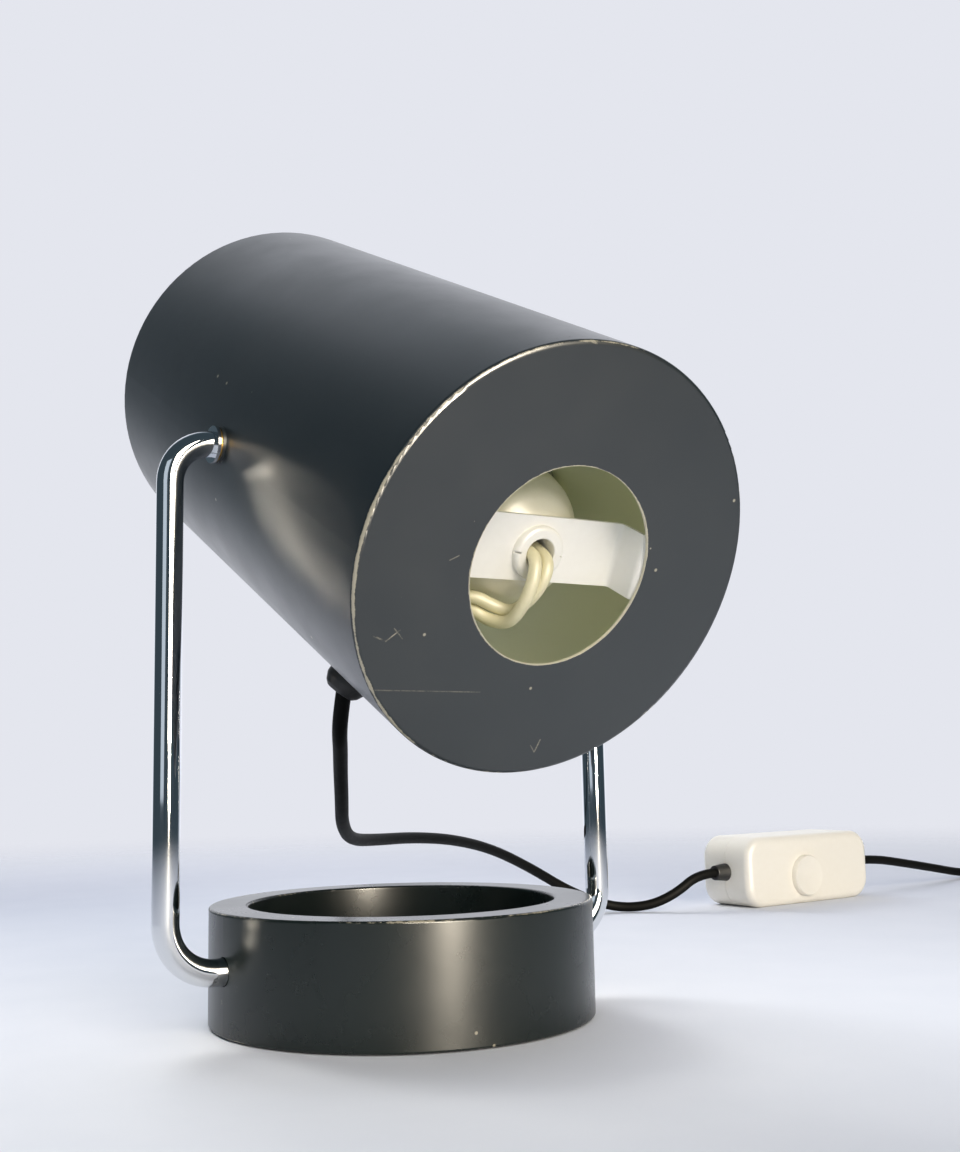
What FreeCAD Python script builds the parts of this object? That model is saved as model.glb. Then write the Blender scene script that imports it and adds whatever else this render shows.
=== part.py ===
import FreeCAD, Part
import math
import os

# Tabletop searchlight lamp: a black steel cylinder shade that tilts between two bent chrome
# rods, which stand in a heavy ring base. Lengths are millimetres. +Z is up, the origin is the
# middle of the ring's underside, X runs along the tilt axis and the light leaves toward -Y.

# Ring base and its felt
ring_outer_r = 60.0
ring_inner_r = 48.0
ring_top = 35.5
ring_bottom = 0.4
felt_inner_r = 50.0
felt_outer_r = 58.0
felt_top = 1.4

# Bent rods
rod_d = 8.0
rod_x = 77.5
rod_leg_z = 19.0
rod_leg_end_x = 50.0
rod_hole_d = 8.5
rod_low_bend = 15.0
rod_top_bend = 13.0
pivot_z = 175.5
shoulder_x = rod_x - rod_top_bend
stud_d = 6.0
stud_end_x = 53.0
grub_d = 4.9
grub_x = 54.0

# Shade
shade_r = 62.0
shade_wall = 1.0
shade_length = 201.8
shade_cap_depth = 4.0
pivot_from_rear = 101.0
shade_tilt = 27.0
vent_r = 28.5

# Pivot stack, outward along X from the shade's side
bush_flange_r = 5.75
bush_face_x = 62.9
washer_x = (62.95, 63.45)
collar_x = (63.5, 64.5)

# Lampholder, bush and strap behind the vent hole, depths from the shade's rear face
strap_sheet = 1.2
strap_width = 19.0
strap_offset = 0.9
strap_leg_x = 28.6
strap_foot_x = 38.0
strap_face = 14.2
strap_bush_r = 8.0
holder_r = 20.5
holder_end = 62.0
bulb_r = 30.0
bulb_centre = 112.0
bulb_neck_r = 12.9
thread_pitch = 3.62

# Cord and its grommet
cord_d = 4.8
core_d = 3.7
grommet_angle = -63.0
grommet_depth = 51.0
floor_z = cord_d / 2 + 0.02

# Inline switch, lying on its long edge
switch_length = 95.0
switch_height = 36.0
switch_depth = 34.0
switch_start = (-284.0, -159.0)
switch_heading = -177.0
button_r = 10.5
button_along = 43.0
button_up = 14.6
sleeve_length = 8.0

# Put-away coil and plug
coil_centre = (-519.0, -133.0)
coil_r = 34.0
coil_pitch = 5.25
coil_turns = 3.25
plug_length = 36.0
plug_width = 35.3
plug_height = 13.8

V = FreeCAD.Vector
X_AXIS = V(1, 0, 0)
Z_AXIS = V(0, 0, 1)
os.makedirs("parts", exist_ok=True)


# Basic shapes

def placed(shape, origin, ex, ey, ez):
    m = FreeCAD.Matrix(ex.x, ey.x, ez.x, origin.x,
                       ex.y, ey.y, ez.y, origin.y,
                       ex.z, ey.z, ez.z, origin.z,
                       0, 0, 0, 1)
    return shape.transformed(m, True)


def cylinder(radius, start, direction, length):
    return Part.makeCylinder(radius, length, V(*start), V(*direction))


def box(low, high):
    size = [high[i] - low[i] for i in range(3)]
    return Part.makeBox(size[0], size[1], size[2], V(*low))


def corner_arc(before, point, after, radius):
    """Gives the tangent points and the middle of the arc that rounds one corner."""
    a = (before - point).normalize()
    b = (after - point).normalize()
    half = a.getAngle(b) / 2
    reach = radius / math.tan(half)
    bisector = (a + b).normalize()
    centre = point + bisector * (radius / math.sin(half))
    return point + a * reach, centre - bisector * radius, point + b * reach


def rounded_path(points, radii, closed=False):
    """Straight runs joined by tangent arcs, one radius per point, 0 for a sharp corner."""
    count = len(points)
    corners = []
    for i, point in enumerate(points):
        if radii[i] > 0:
            corners.append(corner_arc(points[i - 1], point, points[(i + 1) % count], radii[i]))
        else:
            corners.append((point, None, point))
    edges = []
    for i in range(count if closed else count - 1):
        start = corners[i][2]
        end = corners[(i + 1) % count][0]
        if (end - start).Length > 1e-6:
            edges.append(Part.LineSegment(start, end).toShape())
        arc = corners[(i + 1) % count]
        if arc[1] is not None:
            edges.append(Part.Arc(arc[0], arc[1], arc[2]).toShape())
    return Part.Wire(edges)


def flat_face(profile, to_point):
    points = [to_point(p[0], p[1]) for p in profile]
    radii = [p[2] if len(p) > 2 else 0 for p in profile]
    return Part.Face(rounded_path(points, radii, closed=True))


def lathe(profile):
    """Turns a closed profile of (radius, z) or (radius, z, rounding) about the Z axis."""
    return flat_face(profile, lambda r, z: V(r, 0, z)).revolve(V(0, 0, 0), Z_AXIS, 360)


def plate(profile, height):
    """Raises a closed profile of (x, y) or (x, y, rounding) along Z."""
    return flat_face(profile, lambda x, y: V(x, y, 0)).extrude(V(0, 0, height))


def fused(pieces):
    result = pieces[0]
    for piece in pieces[1:]:
        result = result.fuse(piece)
    return result.removeSplitter()


def save(name, pieces):
    if not isinstance(pieces, list):
        pieces = [pieces]
    for piece in pieces:
        if not piece.isValid():
            print("NOT VALID", name)
    solids = [solid for piece in pieces for solid in piece.Solids]
    shape = solids[0] if len(solids) == 1 else Part.makeCompound(solids)
    shape.exportStep("parts/" + name + ".step")
    lowest = shape.optimalBoundingBox(False, False).ZMin
    print("%-20s %2d solid(s) %9.1f mm3  z from %.2f" % (name, len(solids), shape.Volume, lowest))


# Cords

def swept(wire, start, direction, diameter):
    circle = Part.Wire([Part.Circle(start, direction, diameter / 2).toShape()])
    return wire.makePipeShell([circle], True, False)


def cord_radii(points):
    radii = [0.0]
    for i in range(1, len(points) - 1):
        a = points[i] - points[i - 1]
        b = points[i + 1] - points[i]
        turn = a.getAngle(b)
        radii.append(0.45 * min(a.Length, b.Length) / math.tan(turn / 2))
    return radii + [0.0]


def cord_tube(name, points, diameter):
    points = [V(*p) for p in points]
    radii = cord_radii(points)
    wire = rounded_path(points, radii)
    tube = swept(wire, points[0], points[1] - points[0], diameter)
    expected = math.pi * diameter ** 2 / 4 * wire.Length
    shown = " ".join("%.0f" % r for r in radii[1:-1])
    print("%s: length %.1f, bend radii %s" % (name, wire.Length, shown))
    print("%s: volume / section x length = %.4f" % (name, tube.Volume / expected))
    return tube


def arc_edge(start, tangent, end):
    """The one arc that leaves start along tangent and arrives at end."""
    chord = end - start
    side = chord - tangent * chord.dot(tangent)
    if side.Length < 1e-6:
        return Part.LineSegment(start, end).toShape()
    side = side.normalize()
    radius = chord.Length ** 2 / (2 * chord.dot(side))
    centre = start + side * radius
    middle = (start + end) * 0.5 - centre
    return Part.Arc(start, centre + middle.normalize() * radius, end).toShape()


def biarc(start, leaving, end, arriving):
    chord = end - start
    both = leaving + arriving
    lean = 2 * (1 - leaving.dot(arriving))
    along = chord.dot(both)
    if lean < 1e-9:
        reach = chord.dot(chord) / (4 * chord.dot(arriving))
    else:
        reach = (math.sqrt(along ** 2 + lean * chord.dot(chord)) - along) / lean
    joint = (start + leaving * reach + end - arriving * reach) * 0.5
    first = arc_edge(start, leaving, joint)
    second = arc_edge(end, arriving * -1, joint)
    return [first, second]


def coil_spot(turn):
    """Place and heading on the coil: in on the floor, up in the reversing half turn, out on top."""
    rate = coil_pitch
    low_end = coil_turns
    high_start = coil_turns + 0.5
    middle = coil_turns + 0.25
    if turn <= middle:
        radius = coil_r - rate * turn
        growth = -rate
    else:
        radius = coil_r - rate * (2 * middle - turn)
        growth = rate
    if abs(turn - middle) < 1e-6:
        growth = 0.0
    share = min(max((turn - low_end) / (high_start - low_end), 0.0), 1.0)
    climb = share * share * (3 - 2 * share)
    slope = 6 * share * (1 - share) / (high_start - low_end) * coil_pitch
    angle = math.pi - 2 * math.pi * turn
    out = V(math.cos(angle), math.sin(angle), 0)
    ahead = V(math.sin(angle), -math.cos(angle), 0)
    centre = V(coil_centre[0], coil_centre[1], floor_z)
    spot = centre + out * radius + V(0, 0, coil_pitch * climb)
    heading = out * growth + ahead * (2 * math.pi * radius) + V(0, 0, slope)
    return spot, heading.normalize()


def coil_edges():
    quarters = int(round((2 * coil_turns + 0.5) * 4))
    spots = [coil_spot(i / 4) for i in range(quarters + 1)]
    first, heading = spots[0]
    edges = [Part.LineSegment(first - heading * cord_d, first).toShape()]
    for a, b in zip(spots, spots[1:]):
        edges += biarc(a[0], a[1], b[0], b[1])
    last, heading = spots[-1]
    edges.append(Part.LineSegment(last, last + heading * cord_d).toShape())
    return edges, first - spots[0][1] * cord_d, last + heading * cord_d


def least_gap(wire, diameter, skip):
    """Least clear distance between stretches of one tube that are further than skip apart."""
    count = int(wire.Length / 2.0)
    points = wire.discretize(Number=count)
    step = wire.Length / (count - 1)
    apart = int(skip / step) + 1
    least = 1e9
    for i, p in enumerate(points):
        for q in points[i + apart:]:
            least = min(least, (p - q).Length)
    return least - diameter


# Frames of the shade, the switch and the plug

def shade_frame():
    tilt = math.radians(shade_tilt)
    beam = V(0, -math.cos(tilt), math.sin(tilt))
    over = V(0, math.sin(tilt), math.cos(tilt))
    return V(0, 0, pivot_z) - beam * pivot_from_rear, X_AXIS, over, beam


def in_shade(shape):
    return placed(shape, *shade_frame())


def shade_point(x, y, depth):
    origin, ex, ey, ez = shade_frame()
    return origin + ex * x + ey * y + ez * depth


def switch_frame():
    heading = math.radians(switch_heading)
    along = V(math.cos(heading), math.sin(heading), 0)
    front = along.cross(Z_AXIS)
    return V(switch_start[0], switch_start[1], switch_height / 2), along, Z_AXIS, front


def in_switch(shape):
    return placed(shape, *switch_frame())


def switch_mouth(further):
    """A point on the switch's axis at the lamp side's sleeve, or further along."""
    origin, along, up, front = switch_frame()
    return origin - along * (sleeve_length - further)


def both_sides(shape):
    return [shape, shape.mirror(V(0, 0, 0), X_AXIS)]


# Base ring: one heavy turned ring with a felt groove under it and a blind hole for each rod

ring = lathe([(ring_inner_r, ring_bottom, 0.6), (felt_inner_r, ring_bottom), (felt_inner_r, felt_top),
              (felt_outer_r, felt_top), (felt_outer_r, ring_bottom), (ring_outer_r, ring_bottom, 0.6),
              (ring_outer_r, ring_top, 0.8), (ring_inner_r, ring_top, 0.8)])
for side in (1, -1):
    ring = ring.cut(cylinder(rod_hole_d / 2, (side * (rod_leg_end_x - 0.5), 0, rod_leg_z),
                             (side, 0, 0), 15))
    ring = ring.cut(cylinder(grub_d / 2 + 0.05, (side * grub_x, 0, felt_top - 0.5), (0, 0, 1), 16))
save("base_ring", ring)

felt = lathe([(felt_inner_r + 0.1, 0), (felt_outer_r - 0.1, 0),
              (felt_outer_r - 0.1, felt_top - 0.05), (felt_inner_r + 0.1, felt_top - 0.05)])
save("base_felt", felt)

grub_top = rod_leg_z - rod_d / 2
grub = cylinder(grub_d / 2, (grub_x, 0, felt_top + 0.4), (0, 0, 1), grub_top - felt_top - 0.4)
socket = Part.Face(Part.makePolygon([V(grub_x + 1.45 * math.cos(math.radians(60 * k)),
                                       1.45 * math.sin(math.radians(60 * k)), felt_top + 0.4)
                                     for k in range(7)])).extrude(V(0, 0, 3))
save("arm_grub_screws", both_sides(grub.cut(socket)))

# Rods: a straight leg in the ring, a low bend, the upright, a top bend and the pivot stud

arm_points = [V(rod_leg_end_x, 0, rod_leg_z), V(rod_x, 0, rod_leg_z), V(rod_x, 0, pivot_z),
              V(shoulder_x, 0, pivot_z)]
arm_path = rounded_path(arm_points, [0, rod_low_bend, rod_top_bend, 0])
arm = swept(arm_path, arm_points[0], X_AXIS, rod_d)
stud = cylinder(stud_d / 2, (stud_end_x, 0, pivot_z), (1, 0, 0), shoulder_x - stud_end_x)
arm = arm.fuse(stud)
save("left_arm", arm)
save("right_arm", arm.mirror(V(0, 0, 0), X_AXIS))


def stack_ring(outer, inner, x_from, x_to):
    ring_solid = cylinder(outer, (x_from, 0, pivot_z), (1, 0, 0), x_to - x_from)
    return ring_solid.cut(cylinder(inner, (x_from - 1, 0, pivot_z), (1, 0, 0), x_to - x_from + 2))


save("pivot_collars", both_sides(stack_ring(5.75, stud_d / 2 + 0.02, collar_x[0], collar_x[1])))
save("friction_washers", both_sides(stack_ring(5.2, stud_d / 2 + 0.02, washer_x[0], washer_x[1])))
save("spring_washers", both_sides(stack_ring(5.9, stud_d / 2 + 0.02, 58.65, 59.65)))

nut = Part.Face(Part.makePolygon([V(53.6, 5.77 * math.cos(math.radians(60 * k)),
                                    pivot_z + 5.77 * math.sin(math.radians(60 * k)))
                                  for k in range(7)])).extrude(V(5, 0, 0))
nut = nut.cut(cylinder(stud_d / 2 + 0.02, (53, 0, pivot_z), (1, 0, 0), 6))
save("pivot_nuts", both_sides(nut))

# Shade: a rear cap with the vent hole, butted to a tube that is open toward the light, with a lip

inner_r = shade_r - shade_wall
shade_cap = lathe([(vent_r, 0), (shade_r, 0, 1.3), (shade_r, shade_cap_depth), (inner_r, shade_cap_depth),
                   (inner_r, shade_wall, 0.3), (vent_r, shade_wall)])
save("shade_rear_cap", in_shade(shade_cap))

shade_tube = lathe([(shade_r, shade_cap_depth), (shade_r, shade_length, 0.8), (shade_r - 2.6, shade_length),
                    (shade_r - 2.6, shade_length - 1), (inner_r, shade_length - 1),
                    (inner_r, shade_cap_depth)])
for side in (1, -1):
    shade_tube = shade_tube.cut(cylinder(4.02, (side * 50, 0, pivot_from_rear), (side, 0, 0), 20))
swing = math.radians(grommet_angle)
outward = V(math.cos(swing), math.sin(swing), 0)
shade_tube = shade_tube.cut(cylinder(4.6, outward * 50 + V(0, 0, grommet_depth), outward, 20))
save("shade_tube", in_shade(shade_tube))

# Pivot bushes: flange outside, sleeve through the wall, running on the studs

flange = cylinder(bush_flange_r, (shade_r - 1, 0, pivot_from_rear), (1, 0, 0), bush_face_x - shade_r + 1)
flange = flange.cut(cylinder(shade_r, (0, 0, 0), (0, 0, 1), shade_length))
sleeve = cylinder(4.0, (59.75, 0, pivot_from_rear), (1, 0, 0), bush_face_x - 59.75)
bush = fused([flange, sleeve])
bush = bush.cut(cylinder(stud_d / 2 + 0.06, (50, 0, pivot_from_rear), (1, 0, 0), 20))
save("pivot_bushes", [in_shade(piece) for piece in both_sides(bush)])

# Strap: a bent bridge welded inside the rear face, seen through the vent hole

inner_leg = strap_leg_x - strap_sheet
foot_top = shade_wall + strap_sheet
half_strap = [(strap_foot_x, shade_wall), (strap_foot_x, foot_top), (strap_leg_x, foot_top, 1.3),
              (strap_leg_x, strap_face, 2.5)]
half_inner = [(inner_leg, strap_face - strap_sheet, 1.3), (inner_leg, shade_wall, 2.5)]
outline = (half_strap + [(-p[0],) + p[1:] for p in reversed(half_strap)]
           + [(-p[0],) + p[1:] for p in reversed(half_inner)] + half_inner)
strap_face_shape = flat_face(outline, lambda x, z: V(x, strap_offset - strap_width / 2, z))
strap = strap_face_shape.extrude(V(0, strap_width, 0))
strap = strap.cut(cylinder(5.5, (0, 0, 0), (0, 0, 1), 30))
save("lampholder_strap", in_shade(strap))

strap_bush = lathe([(4.5, 10.7, 0.5), (strap_bush_r, 10.7, 1.4), (strap_bush_r, 13.0), (5.45, 13.0),
                    (5.45, 20.0), (4.5, 20.0)])
for side in (1, -1):
    notch = box((side * strap_bush_r - 1.6, -0.3, 10), (side * strap_bush_r + 1.6, 0.3, 12.2))
    strap_bush = strap_bush.cut(notch)
save("strap_bush", in_shade(strap_bush))

# Lampholder: domed cap, barrel, insert, contacts and thread shell

cap = lathe([(5.5, 14.2), (10.6, 14.2, 4.0), (15.8, 18.0, 10.0), (20.0, 24.0, 9.0), (21.2, 29.0, 4.0),
             (21.2, 30.9, 0.4), (18.95, 30.9), (18.95, 26.8, 1.0), (15.5, 23.2, 1.0), (13.5, 20.2, 1.0),
             (5.5, 18.4)])
save("holder_cap", in_shade(cap))

barrel = lathe([(17.4, 28.0), (18.85, 28.0), (18.85, 31.0), (holder_r, 31.0, 0.4),
                (holder_r, 45.0), (holder_r + 0.9, 45.6, 0.3), (holder_r + 0.9, 48.4, 0.3),
                (holder_r, 49.0), (holder_r, holder_end, 1.6), (15.2, holder_end, 0.5),
                (15.2, 60.4), (18.6, 60.4, 0.8), (18.6, 31.8, 0.6), (17.4, 31.8)])
save("holder_body", in_shade(barrel))

insert = lathe([(0, 32), (18.5, 32, 0.4), (18.5, 36, 0.4), (0, 36)])
save("holder_insert", in_shade(insert))
save("centre_contact", in_shade(lathe([(0, 36), (3.6, 36), (3.0, 37.9, 0.6), (0, 37.9)])))
terminal = lathe([(0, 29.4), (2.3, 29.4, 0.3), (2.3, 32), (0, 32)])
terminal = terminal.cut(box((-3, -0.3, 29), (3, 0.3, 30)))
save("terminal_screws", [in_shade(terminal.translated(V(side * 10.5, 0, 0))) for side in (1, -1)])


def thread_wave(low, crest, root, count):
    """Rounded ridges of a screw cap's thread, as (radius, depth, rounding) points."""
    return [(crest if k % 2 else root, low + k * thread_pitch / 2, 0.55) for k in range(count)]


outer_wave = thread_wave(38.0, 14.1, 13.2, 12)
inner_wave = thread_wave(38.0, 13.6, 12.7, 12)
thread_shell = lathe([(13.2, 36.05)] + outer_wave + [(14.2, 59.4), (13.7, 59.4)]
                     + list(reversed(inner_wave)) + [(12.7, 36.05)])
save("holder_thread_shell", in_shade(thread_shell))

# Bulb: screw cap, centre contact and opal glass

cap_wave = thread_wave(41.62, 13.15, 12.25, 9)
screw_cap = lathe([(0, 39.5), (4.9, 39.5, 0.4), (8.6, 40.6, 0.6)] + cap_wave[1:]
                  + [(12.6, 57.4), (13.15, 58.4, 0.3), (13.15, 60.8), (bulb_neck_r + 0.03, 60.8),
                     (bulb_neck_r + 0.03, 58.4), (0, 58.4)])
save("bulb_screw_cap", in_shade(screw_cap))
save("bulb_contact", in_shade(lathe([(0, 37.95), (4.6, 37.95, 0.6), (4.6, 39.5), (0, 39.5)])))


def bulb_line(inset):
    """Tangent line, hollow arc and sphere of the glass, from the neck's open end to the tip."""
    sweep_r = 40.0 + inset
    globe_r = bulb_r - inset
    neck_r = bulb_neck_r - inset
    apart = sweep_r + globe_r
    rise = math.sqrt(apart ** 2 - (neck_r + sweep_r) ** 2)
    knee = V(neck_r, 0, bulb_centre - rise)
    sweep_centre = V(neck_r + sweep_r, 0, bulb_centre - rise)
    globe_centre = V(0, 0, bulb_centre)
    meet = globe_centre + (sweep_centre - globe_centre).normalize() * globe_r
    tip = V(0, 0, bulb_centre + globe_r)
    middle = ((knee + meet) * 0.5 - sweep_centre).normalize() * sweep_r + sweep_centre
    waist = V(globe_r * math.cos(0.4), 0, bulb_centre + globe_r * math.sin(0.4))
    return [Part.LineSegment(V(neck_r, 0, 58.5), knee).toShape(), Part.Arc(knee, middle, meet).toShape(),
            Part.Arc(meet, waist, tip).toShape()], V(neck_r, 0, 58.5), tip


outer_line, outer_foot, outer_tip = bulb_line(0)
inner_line, inner_foot, inner_tip = bulb_line(0.9)
glass_edges = outer_line + [Part.LineSegment(outer_tip, inner_tip).toShape()]
glass_edges += list(reversed(inner_line)) + [Part.LineSegment(inner_foot, outer_foot).toShape()]
glass = Part.Face(Part.Wire(Part.__sortEdges__(glass_edges))).revolve(V(0, 0, 0), Z_AXIS, 360)
save("bulb_glass", in_shade(glass))

# Grommet: a rubber dome on the lower left side, flanged inside, and the cord's first stretch in it


def radial(shape):
    """Stands a turned shape on the shade's side at the grommet: its Z axis points outward."""
    across = Z_AXIS.cross(outward)
    return in_shade(placed(shape, V(0, 0, grommet_depth), Z_AXIS, across * -1, outward))


dome = radial(lathe([(2.42, 60.0), (6.75, 60.0), (6.75, 63.6, 1.2), (5.7, 65.8, 1.5),
                     (4.4, 67.0, 0.8), (2.42, 67.0)]))
dome = dome.cut(in_shade(cylinder(shade_r + 0.02, (0, 0, 0), (0, 0, 1), shade_length)))
neck = radial(lathe([(2.42, 60.2), (4.55, 60.2), (4.55, 63.0), (2.42, 63.0)]))
inner_lip = radial(lathe([(2.42, 58.2), (6.2, 58.2, 0.6), (6.2, 60.5), (2.42, 60.5)]))
exit_point = shade_point(*(outward * 64.4 + V(0, 0, grommet_depth)))
lead_route = [tuple(exit_point), (28.6, 14.6, 93.5), (26.0, 8.5, 87.6), (20.8, -1.2, 83.2),
              (12.5, -17.5, 76), (3, -35.5, 66.5), (-8, -57, 56.5), (-24, -81, 49.8), (-48, -106, 47.8),
              (-80, -131, 46.5), (-115, -154, 43), (-149, -174, 36), (-180, -187, 24.5),
              (-205, -190, 11.5), (-225, -181, 2.5), (-239, -168.5, 2.9), (-251, -160.5, 9),
              tuple(switch_mouth(-12)), tuple(switch_mouth(0))]
leaving = (V(*lead_route[1]) - exit_point).normalize()
recess = cylinder(cord_d / 2 + 0.12, exit_point - leaving * 0.15, leaving, 12)
save("cord_grommet", fused([dome, neck, inner_lip]).cut(recess))
save("cord_inner_end", radial(lathe([(0, 51.5), (cord_d / 2, 51.5), (cord_d / 2, 62.9), (0, 62.9)])))
save("cord_grip", radial(lathe([(cord_d / 2 + 0.02, 53.5), (4.4, 53.5, 0.5), (4.4, 57.6, 0.5),
                                (cord_d / 2 + 0.02, 57.6)])))

# Lead wires: two sleeved wires come out of the bush, twist, turn down and go to the grommet

lead_middle = [(0, 0, 24), (0, 0, 12.5), (1.2, -1.6, 7.3), (2.4, -6.8, 5.6), (3.9, -13.2, 6.6),
               (5.2, -19.0, 10.4), (8.8, -19.4, 15.2), (13.8, -17.2, 18.0), (19.0, -20.0, 24.0),
               (22.0, -26.5, 32.5), (22.0, -34.0, 41.5), (20.9, -39.6, 48.4), (22.3, -43.9, 51.0)]
lead_twist = [0, 0, -10, -30, -55, -80, -110, -140, -165, -190, -210, -230, -245]
lead_spread = 2.15


def wire_points(sign):
    middle = [V(*p) for p in lead_middle]
    points = []
    side = V(1, 0, 0)
    for i, point in enumerate(middle):
        ahead = middle[min(i + 1, len(middle) - 1)] - middle[max(i - 1, 0)]
        ahead = ahead.normalize()
        side = (side - ahead * side.dot(ahead)).normalize()
        up = ahead.cross(side)
        twist = math.radians(lead_twist[i])
        offset = (side * math.cos(twist) + up * math.sin(twist)) * (lead_spread * sign)
        points.append(shade_point(*(point + offset)))
    return points


save("lead_wire_a", cord_tube("lead_wire_a", wire_points(1), core_d))
save("lead_wire_b", cord_tube("lead_wire_b", wire_points(-1), core_d))

# Switch: two half shells, sleeves, push button, contact block and screws


def rounded_block(inset, low, high):
    """A block of the switch's outline with rounded corners, from low to high along its depth."""
    a = inset
    b = switch_length - inset
    c = switch_height / 2 - inset
    block = plate([(a, -c, 11 - inset), (b, -c, 11 - inset), (b, c, 11 - inset), (a, c, 11 - inset)],
                  high - low)
    return block.translated(V(0, 0, low))


half_depth = switch_depth / 2
whole = rounded_block(0, -half_depth, half_depth)
rims = [e for e in whole.Edges if abs(e.BoundBox.ZMax - e.BoundBox.ZMin) < 1e-6]
whole = whole.makeFillet(4.0, rims)
hollow = rounded_block(2.0, 2.0 - half_depth, half_depth - 2.0)
rims = [e for e in hollow.Edges if abs(e.BoundBox.ZMax - e.BoundBox.ZMin) < 1e-6]
hollow = hollow.makeFillet(2.5, rims)
entry = cylinder(4.55, (-5, 0, 0), (1, 0, 0), switch_length + 10)
button_spot = V(button_along, button_up - switch_height / 2, 0)
screw_spots = [(17, 9), (78, -9)]

front = whole.cut(hollow).cut(entry).cut(box((-5, -30, -30), (100, 30, 0.1)))
rear = whole.cut(hollow).cut(entry).cut(box((-5, -30, -0.1), (100, 30, 30)))
lip = rounded_block(2.05, -3, 1.4).fuse(rounded_block(1.6, -3, -0.4))
lip = lip.cut(rounded_block(3.1, -4, 2)).cut(entry)
rear = rear.fuse(lip)
rear = rear.removeSplitter()
front = front.cut(cylinder(button_r + 0.15, button_spot, (0, 0, 1), 30))
for x, y in screw_spots:
    front = front.fuse(cylinder(3.2, (x, y, 0.1), (0, 0, 1), half_depth - 1.5))
    front = front.cut(cylinder(1.5, (x, y, 0), (0, 0, 1), 11))
    rear = rear.fuse(cylinder(3.2, (x, y, 1.5 - half_depth), (0, 0, 1), half_depth - 1.6))
    rear = rear.cut(cylinder(1.5, (x, y, -20), (0, 0, 1), 25))
    rear = rear.cut(cylinder(2.9, (x, y, -half_depth - 1), (0, 0, 1), 3.2))
save("switch_front_shell", in_switch(front))
save("switch_rear_shell", in_switch(rear))

screw = lathe([(0, -15.2), (1.45, -15.2), (1.45, 10.5), (0, 10.5)])
head = lathe([(0, 0.4 - half_depth), (2.75, 0.4 - half_depth, 0.3), (2.75, 2.1 - half_depth),
              (0, 2.1 - half_depth)])
screw = fused([screw, head]).cut(box((-3, -0.35, -17), (3, 0.35, -15.9)))
save("switch_screws", [in_switch(screw.translated(V(x, y, 0))) for x, y in screw_spots])

button = lathe([(0, 6.0), (button_r + 1.2, 6.0), (button_r + 1.2, 7.6), (button_r, 7.6),
                (button_r, 20.6, 1.6), (0, 20.6)])
dish = Part.makeSphere(60, V(0, 0, 79.4))
save("switch_button", in_switch(button.cut(dish).translated(button_spot)))

block = box((25, -13, -14.9), (72, 9, 2.6))
block = block.cut(box((30, -14, -8), (40, 10, 3))).cut(box((58, -14, -8), (68, 10, 3)))
save("switch_contact_block", in_switch(block))
clamp = lathe([(0, -8), (2.0, -8), (2.0, -1.5, 0.3), (0, -1.5)])
clamp_spots = [(35, 4), (35, -8), (63, 4), (63, -8)]
save("switch_terminals", [in_switch(clamp.translated(V(x, y, 0))) for x, y in clamp_spots])

boot = lathe([(cord_d / 2 + 0.02, -sleeve_length), (3.7, -sleeve_length, 0.6), (4.5, 0), (4.5, 3.5),
              (cord_d / 2 + 0.02, 3.5)])
stub = lathe([(0, -sleeve_length), (cord_d / 2, -sleeve_length), (cord_d / 2, 13), (0, 13)])


def at_both_ends(shape):
    near = placed(shape, V(0, 0, 0), V(0, 1, 0), V(0, 0, 1), V(1, 0, 0))
    far = placed(shape, V(switch_length, 0, 0), V(0, -1, 0), V(0, 0, 1), V(-1, 0, 0))
    return [in_switch(near), in_switch(far)]


save("switch_sleeves", at_both_ends(boot))
save("switch_cord_ends", at_both_ends(stub))

# The cord: from the lamp to the switch, on to the coil, the coil, and its end with the plug

save("cord_lead", cord_tube("cord_lead", lead_route, cord_d))

coil_parts, coil_in, coil_out = coil_edges()
coil_wire = Part.Wire(coil_parts)
coil = swept(coil_wire, coil_in, coil_spot(0)[1], cord_d)
share = coil.Volume / (math.pi * cord_d ** 2 / 4 * coil_wire.Length)
print("cord_coil: length %.1f, volume / section x length = %.4f" % (coil_wire.Length, share))
print("cord_coil: least gap to itself %.2f" % least_gap(coil_wire, cord_d, 40))
save("cord_coil", coil)

switch_end = switch_frame()[0] + switch_frame()[1] * (switch_length + sleeve_length)
coil_heading = coil_spot(0)[1]
tail_route = [tuple(switch_end), (-404, -165.3, 18), (-432, -168, 14), (-468, -174, 8.5),
              (-500, -181, 3.5), (-521, -184, floor_z), (-542.5, -177, floor_z),
              tuple(coil_in - coil_heading * 18), tuple(coil_in)]
save("cord_tail", cord_tube("cord_tail", tail_route, cord_d))

plug_axis = plug_height / 2
plug_tail = V(-488, -54, plug_axis)
coil_leaving = coil_spot(2 * coil_turns + 0.5)[1]
end_route = [tuple(coil_out), tuple(coil_out + coil_leaving * 12), (-552, -100, 5), (-548, -83, floor_z),
             (-539, -67, floor_z), (-523, -57, 3.2), (-504, -54, plug_axis), tuple(plug_tail)]
save("cord_end", cord_tube("cord_end", end_route, cord_d))

# Plug: flat two-pin plug that lies on its broad side

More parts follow.
